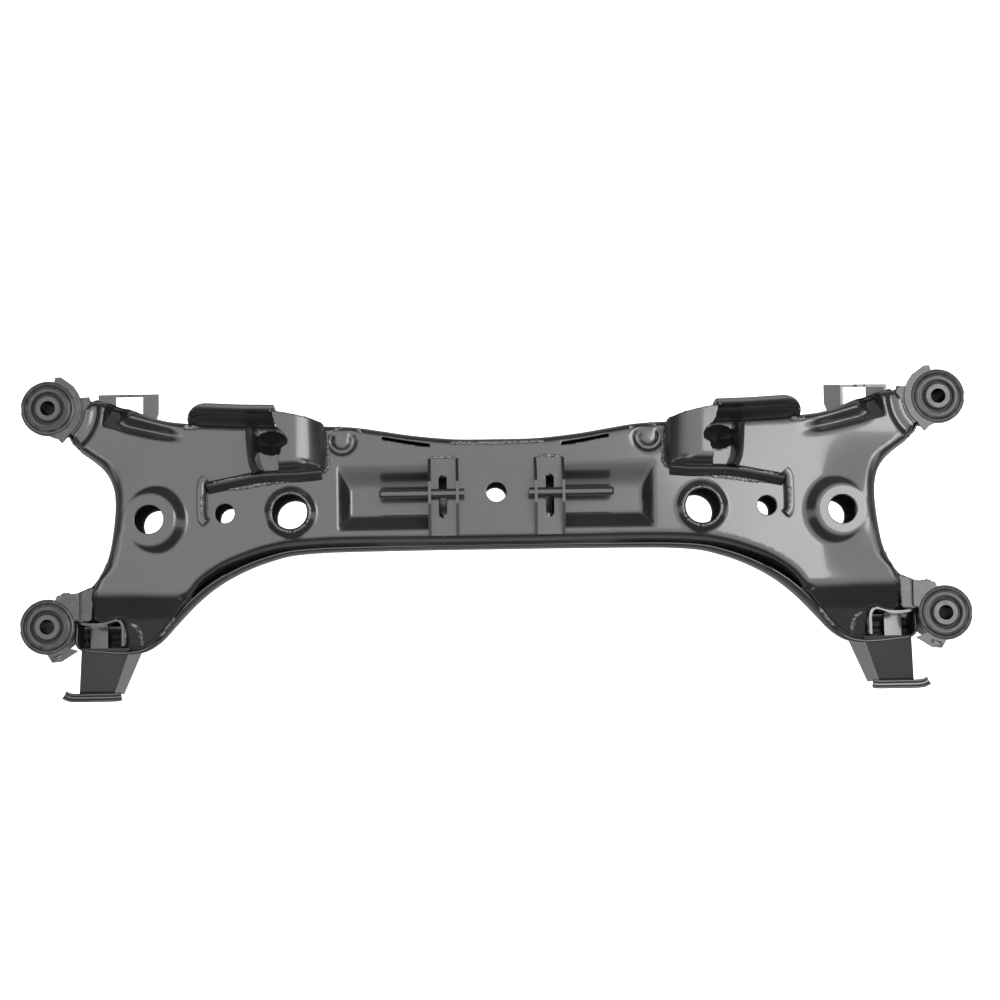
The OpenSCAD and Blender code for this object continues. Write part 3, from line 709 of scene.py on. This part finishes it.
def build_back(side, tag):
    """Upright flange behind the tower: a beaded face under a rolled lip, with a rounded end."""
    rows = [(-3, -4), (-1, 0), (2, 3), (4, 9), (6, 11.5), (8, 10), (9.5, 13), (12, 21), (14, 24),
            (16.5, 24.5), (18, 22), (18.5, 10), (17, -14)]
    start_x, round_x, end_x, round_run, sink = 240, 312, 334.5, 23, 6
    xs = np.linspace(start_x, end_x, 48)
    base = np.interp(xs, [240, 275, 335], [88.4, 89.2, 92.4])
    close = np.sqrt(np.clip(1 - (np.maximum(xs - round_x, 0) / round_run) ** 2, 0.02, 1))
    verts = []
    for offset, rise in rows:
        verts += [(x, b + offset * c, TOP - sink + (rise + sink) * c)
                  for x, b, c in zip(xs, base, close)]
    add_bracket("tower_back_shell_" + tag, side, (verts, sheet_faces(len(rows), len(xs))), 2.0,
                ["tower_back_" + tag], sharp=50)


def build_foot(side, tag):
    """Leg with a face that slopes down to the front and a lip at its lower edge."""
    rear_z, front_z = 98, 72
    corners = [(404, -151), (456, -151), (462.5, -199), (425, -199)]
    upper = [(*p, z) for p, z in zip(corners, (rear_z, rear_z, front_z, front_z))]
    lower = [(*p, 0) for p in corners]
    leg = (upper + lower, [(3, 2, 1, 0), (0, 1, 5, 4), (1, 2, 6, 5), (2, 3, 7, 6), (3, 0, 4, 7)])
    lip_line = curve([(417, -202), (424, -203), (445, -203), (466, -203), (474, -202), (479, -199.5)], 5)
    lip = ribbon(lip_line, front_z, [(3, 4), (1.5, 1.5), (0, 0.5), (-2, 0.5), (-4, 2), (-5, 4)])
    add_bracket("foot_shell_" + tag, side, joined([leg, lip]), 2.0, ["foot_bracket_" + tag], sharp=30)


def build_arm_web(side, tag):
    """Plate between the front bush and the end of the panel."""
    deep, fall, level_x = 9, 0.02, 440
    loop = np.array([(438, -84), (460, -93), (466, -105), (464, -121), (447, -123), (441, -121),
                     (439, -100)])
    add_filler("arm_web_" + tag, side, loop, lambda x, y: TOP - deep - fall * (x - level_x))


def build_rear_neck(side, tag):
    """Plate under the seam between the rear bush plate and the end of the panel."""
    deep, inner_r, outer_r = 6.5, 34, 46
    loop = np.array(arc(REAR_BUSH, inner_r, 160, 230, 14) + arc(REAR_BUSH, outer_r, 226, 164, 14))
    add_filler("rear_neck_" + tag, side, loop, lambda x, y: np.full_like(x, TOP - deep))


def build_bush_rings(side, tag, spot, row):
    """Raised rims on the bush plate and the folded lip of its sleeve."""
    centre = (side * spot[0], spot[1])
    face = TOP - 4
    lathe("bush_rim_%s_%s" % (row, tag), centre, face,
          [(29.4, -0.4), (28.4, 1.1), (26.4, 1.4), (25.4, 0.2), (24.6, 1.6), (22.6, 2.2), (21.6, 0.8)],
          "black_paint")
    lathe("bush_lip_%s_%s" % (row, tag), centre, face,
          [(20.6, 1.0), (19.8, 2.6), (18.6, 2.4), (17.8, 0.4)], "bush_sleeve")


for side, tag in ((1, "right"), (-1, "left")):
    build_tower(side, tag)
    build_back(side, tag)
    build_foot(side, tag)
    build_arm_web(side, tag)
    build_rear_neck(side, tag)
    for spot, row in ((REAR_BUSH, "rear"), (FRONT_BUSH, "front")):
        build_bush_rings(side, tag, spot, row)


# Weld beads
def bead(line, radius, seed, lift):
    """A lumpy bead along a plan line; lift is its height, or gives the height at plan points."""
    step, ring, taper, flatness = 1.1, 8, 3, 0.75
    swell, lumps, ripples, thinnest = 1.2, 0.55, 0.12, 0.1
    line = np.array(line, float)
    plan = points_at(line, np.arange(0, lengths_along(line)[-1], step))
    high = lift(plan) if callable(lift) else np.full(len(plan), lift)
    left = left_of(plan)
    verts = []
    for i, (p, z) in enumerate(zip(plan, high)):
        end = min(1.0, (i + 0.6) / taper, (len(plan) - i - 0.4) / taper)
        for k in range(ring):
            a = 2 * math.pi * k / ring
            wobble = noise.noise(Vector((i * 0.35, k * 0.8, seed * 7.3)))
            ripple = ripples * math.sin(i * 1.7 + seed)
            r = swell * radius * max(end, thinnest) * (1 + lumps * wobble + ripple)
            q = p + left[i] * r * math.cos(a)
            verts.append((q[0], q[1], z + flatness * r * math.sin(a)))
    return verts, sheet_faces(len(plan), ring, closed=True)


def on_lid(plan):
    return lid_height(plan[:, 0], plan[:, 1]) + 0.3


# Beads of the right-hand side: plan line, radius and height
SIDE_BEADS = [
    # Tower: inboard foot, front foot, front flange and ridge
    ([(184, 82), (182.8, 64), (182.6, 42), (188, 34)], 1.7, on_lid),
    ([(312, 20), (283, 19), (262, 22.5), (241, 25), (215, 28.5), (196, 31)], 2.0, on_lid),
    ([(308, 24), (286, 28.5), (262, 32.5)], 1.2, TOP + 9),
    ([(319.2, 14), (319.4, 2), (318.5, -14)], 1.6, TOP + 8),
    # Tower: end of the back flange, then short blobs in front, behind and at the flange's end
    ([(341, 86), (331, 86.5), (322, 86.5)], 2.4, on_lid),
    ([(252, 30), (247, 30)], 2.6, TOP + 6),
    ([(246, 102), (240, 101)], 2.4, TOP + 23),
    ([(334, 95), (331, 99)], 2.2, TOP + 6),
    # Hanger: front and rear ends, then the rod at both walls
    ([(43, -34), (58, -34.5), (73, -33)], 1.6, TOP + 1.5),
    ([(44, 49.5), (58, 50), (72, 49)], 1.3, TOP + 1.5),
    ([(41.5, 12), (40.5, 8), (41.5, 4)], 2.2, TOP + 12),
    ([(75, 11), (76, 7.6), (75, 4)], 1.8, TOP + 12),
    # Front arm: apron, two sides of the pocket and the apron's inboard edge
    ([(400, -125), (393, -129), (390, -137), (390, -149)], 1.9, on_lid),
    ([(446, -127), (436, -127.5), (426, -126)], 1.5, TOP - 28),
    ([(407, -127), (408, -140), (408, -149)], 1.3, TOP - 32),
    ([(352, -119), (360, -129), (371, -140)], 1.6, on_lid),
    # Front bush plate: behind and in front
    ([(460, -93.5), (474, -93)], 1.6, TOP - 6),
    ([(470, -158), (477, -161), (484, -164)], 1.8, TOP - 4),
    # Button: inboard and outboard
    ([(153, 82), (149, 81), (146, 77)], 2.0, on_lid),
    ([(176, 80), (171, 84), (166, 84)], 1.8, on_lid),
]
MIDDLE_BEAD = [(-50, 65.6), (0, 65), (54, 66)]


def build_beads():
    parts = []
    for i, (line, radius, lift) in enumerate(SIDE_BEADS):
        for side in (1, -1):
            parts.append(mirrored(*bead(line, radius, 2 * i + side, lift), side))
    parts.append(bead(MIDDLE_BEAD, 1.5, 91, on_lid))
    add_piece("weld_beads", *joined(parts), WELD_PAINTED_GLINTS, "black_paint", sharp=60)


build_beads()


# Small rounded edges on the nodes that show as they are
SOFT_NODES = ("hanger_bracket_", "link_bracket_", "arm_pocket_", "bush_plate_rear_",
              "bush_plate_front_")


def soften(node):
    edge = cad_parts[node].modifiers.new("edge", "BEVEL")
    edge.width = 0.7 * MM
    edge.segments = 2
    edge.limit_method = "ANGLE"
    edge.angle_limit = math.radians(35)


for tag in ("left", "right"):
    for node in SOFT_NODES:
        soften(node + tag)


# Stage
def white_floor(nodes, links, shader):
    """Floor that stays white for the camera and still takes a soft shadow."""
    shader.inputs["Roughness"].default_value = 0.9
    path = nodes.new("ShaderNodeLightPath")
    # Mirrored in the paint, the floor shows grey
    dim = nodes.new("ShaderNodeMixRGB")
    dim.inputs["Color2"].default_value = (0.22, 0.22, 0.22, 1)
    links.new(path.outputs["Is Glossy Ray"], dim.inputs["Fac"])
    cloud = noise_value(nodes, links, 2.0)
    grey_ramp(nodes, links, cloud, (0.2, 0.8), (0.88, 0.90), dim.inputs["Color1"])
    links.new(dim.outputs["Color"], shader.inputs["Base Color"])
    glow = nodes.new("ShaderNodeMath")
    glow.operation = "MULTIPLY"
    glow.inputs[1].default_value = 0.5
    links.new(path.outputs["Is Camera Ray"], glow.inputs[0])
    shader.inputs["Emission Color"].default_value = (1, 1, 1, 1)
    links.new(glow.outputs["Value"], shader.inputs["Emission Strength"])


# The floor lies well below the part, which keeps the shadow faint
FLOOR_Z = -0.30
FLOOR_SIZE = 60
bpy.ops.mesh.primitive_plane_add(size=FLOOR_SIZE, location=(0, 0, FLOOR_Z))
floor = bpy.context.object
floor.name = "floor"
floor.data.materials.append(node_material("floor_white", white_floor))


def softbox(name, place, target, width, height, power):
    data = bpy.data.lights.new(name, "AREA")
    data.shape = "RECTANGLE"
    data.size, data.size_y = width, height
    data.energy = power
    lamp = bpy.data.objects.new(name, data)
    lamp.location = place
    lamp.rotation_euler = (Vector(target) - Vector(place)).to_track_quat("-Z", "Y").to_euler()
    bpy.context.scene.collection.objects.link(lamp)


softbox("right_top_box", (1.35, 0.45, 2.6), (1.1, 0.3, 0.0), width=0.9, height=1.7, power=30)
softbox("left_box", (-1.5, -0.1, 1.0), (-0.4, 0, 0.1), width=0.6, height=1.6, power=4)
softbox("right_box", (1.5, -0.1, 1.0), (0.4, 0, 0.1), width=0.6, height=1.6, power=5)


def sky():
    """Studio surround: a soft bright ceiling that falls off smoothly to dim walls."""
    wall_up, ceiling_up = 0.42, 0.97
    wall_light, ceiling_light = 0.11, 2.75
    world = bpy.data.worlds.new("studio")
    world.use_nodes = True
    nodes, links = world.node_tree.nodes, world.node_tree.links
    coords = nodes.new("ShaderNodeTexCoord")
    split = nodes.new("ShaderNodeSeparateXYZ")
    links.new(coords.outputs["Generated"], split.inputs["Vector"])
    fall = nodes.new("ShaderNodeMapRange")
    fall.interpolation_type = "SMOOTHSTEP"
    fall.inputs["From Min"].default_value = wall_up
    fall.inputs["From Max"].default_value = ceiling_up
    fall.inputs["To Min"].default_value = wall_light
    fall.inputs["To Max"].default_value = ceiling_light
    links.new(split.outputs["Z"], fall.inputs["Value"])
    nodes["Background"].inputs["Color"].default_value = (1, 1, 1, 1)
    links.new(fall.outputs["Result"], nodes["Background"].inputs["Strength"])
    bpy.context.scene.world = world


sky()
bpy.context.scene.view_settings.view_transform = "Standard"

# Camera: almost straight above, a little to the front, turned by one degree
PX_MM = 1.083
IMAGE_PX = 1000.0
FOCUS_PX = 2216.0
CENTRE_PX = (500.0, 500.0)
FOOT_PX = (455.0, 717.0)
ORIGIN_PX = (496.5, 502.0)
SENSOR_MM = 36.0
TURN = math.radians(1.0)


def pixel_ray(px, py):
    return Vector(((px - CENTRE_PX[0]) / FOCUS_PX, -(py - CENTRE_PX[1]) / FOCUS_PX, -1.0))


def aim_camera():
    data = bpy.data.cameras.new("camera")
    data.sensor_width = SENSOR_MM
    data.lens = SENSOR_MM * FOCUS_PX / IMAGE_PX
    data.clip_start, data.clip_end = 0.05, 50
    cam = bpy.data.objects.new("camera", data)
    bpy.context.scene.collection.objects.link(cam)
    # The world's axes as the camera sees them: the foot pixel looks straight down
    z_row = -pixel_ray(*FOOT_PX).normalized()
    x_row = Vector((math.cos(TURN), math.sin(TURN), 0.0))
    x_row = (x_row - z_row * x_row.dot(z_row)).normalized()
    rot = Matrix((x_row, z_row.cross(x_row), z_row))
    # The middle of the panel's top shows at its own pixel
    ray = rot @ pixel_ray(*ORIGIN_PX)
    cam.location = Vector((0, MID_Y * MM, TOP * MM)) - ray * (FOCUS_PX * PX_MM * MM / -ray.z)
    cam.rotation_mode = "QUATERNION"
    cam.rotation_quaternion = rot.to_quaternion()
    bpy.context.scene.camera = cam


aim_camera()
